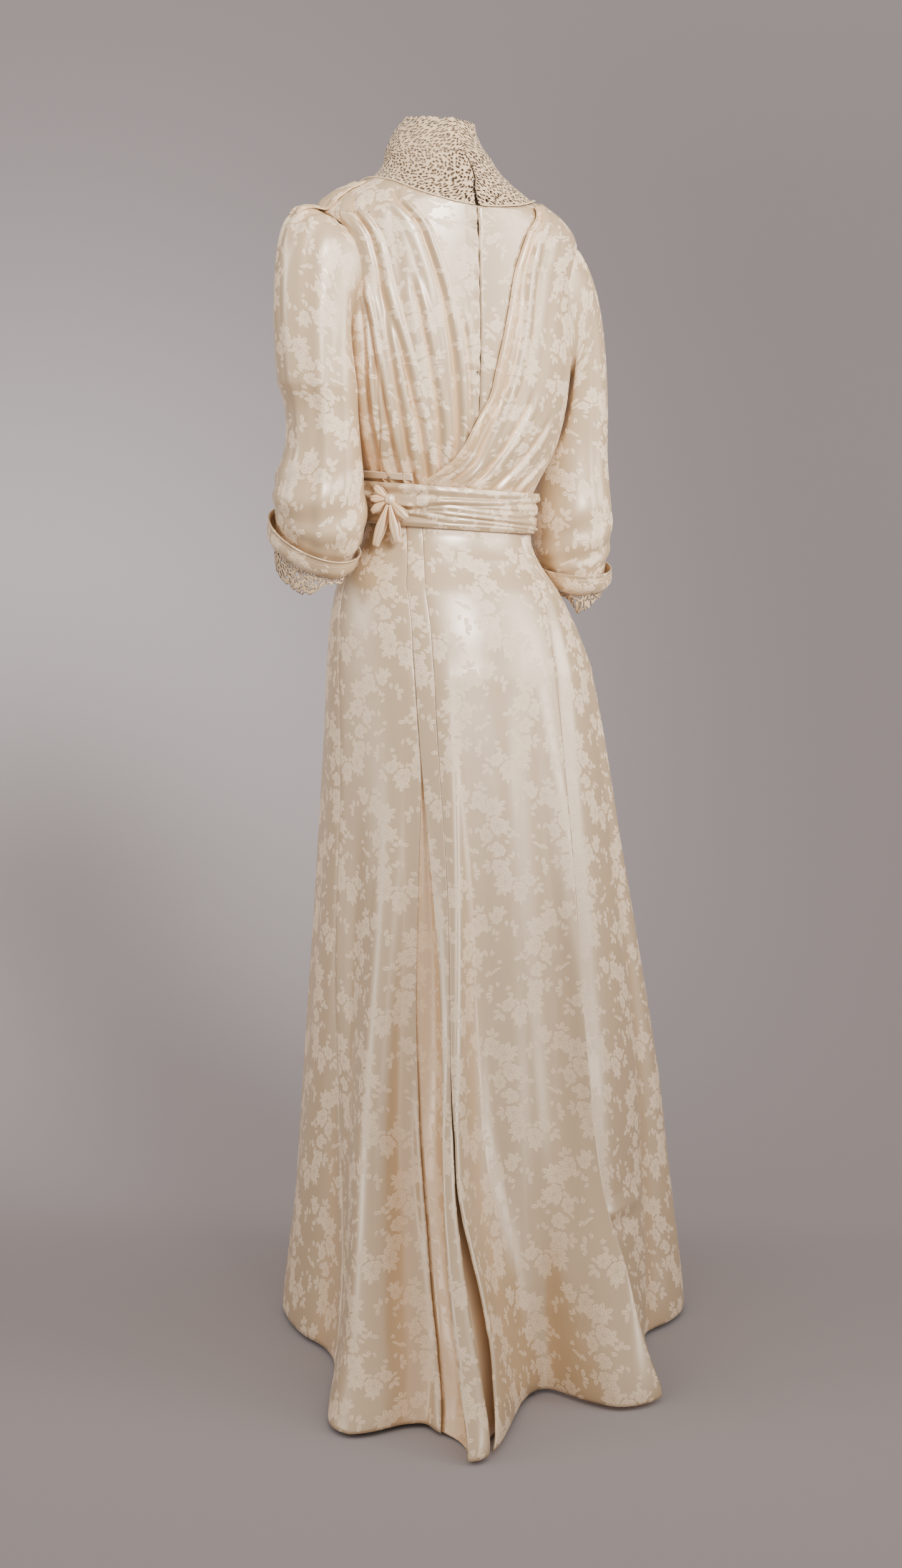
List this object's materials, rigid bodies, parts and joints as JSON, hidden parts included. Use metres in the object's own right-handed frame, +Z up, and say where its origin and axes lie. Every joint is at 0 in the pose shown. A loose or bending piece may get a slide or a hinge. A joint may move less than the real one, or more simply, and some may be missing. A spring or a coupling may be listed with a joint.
{
  "type": "tea gown",
  "caption": "Long silk damask tea gown with a lace stand collar, draped surplice back, tied sash, cuffed sleeves and a short train, worn hollow.",
  "frame": {"origin": "midway between the wearer's shoulders, where they hold the gown up", "axes": "+Z up, -Y the wearer's front, +Y the back and the train, +X the wearer's left"},
  "size_m": [0.5845, 0.7443, 1.4992],
  "materials": {
    "silk": "satin damask, cream",
    "silk_inside": "satin, in the shade of a pleat",
    "lace": "matte cotton lace, cream",
    "steel": "small worn wire hooks"
  },
  "bodies": {
    "root": {"bodice_back_left": "silk", "bodice_back_right": "silk", "bodice_front": "silk", "surplice_right": "silk", "shoulder_band_left": "silk", "neckline_piping": "silk", "lace_yoke_left": "lace", "lace_yoke_right": "lace", "lace_yoke_front": "lace", "lace_collar": "lace", "sleeve_left_outer": "silk", "sleeve_left_inner": "silk", "sleeve_right": "silk", "cuff_left": "silk", "cuff_right": "silk", "cuff_lace_left_outer": "lace", "cuff_lace_left_inner": "lace", "cuff_lace_right_outer": "lace", "cuff_lace_right_inner": "lace", "sash": "silk", "waistband": "silk", "bow_knot": "silk", "bow_loop_upper": "silk", "bow_loop_side": "silk", "bow_loop_lower": "silk", "bow_loop_right": "silk", "bow_tail_left": "silk", "bow_tail_right": "silk", "collar_hook_upper": "steel", "collar_hook_lower": "steel", "waist_hook": "steel", "skirt_front": "silk", "skirt_side_left": "silk", "skirt_back_left": "silk", "skirt_pleat_inside": "silk_inside", "skirt_strip_back": "silk", "skirt_back_right": "silk", "skirt_side_right": "silk"}
  },
  "joints": []
}
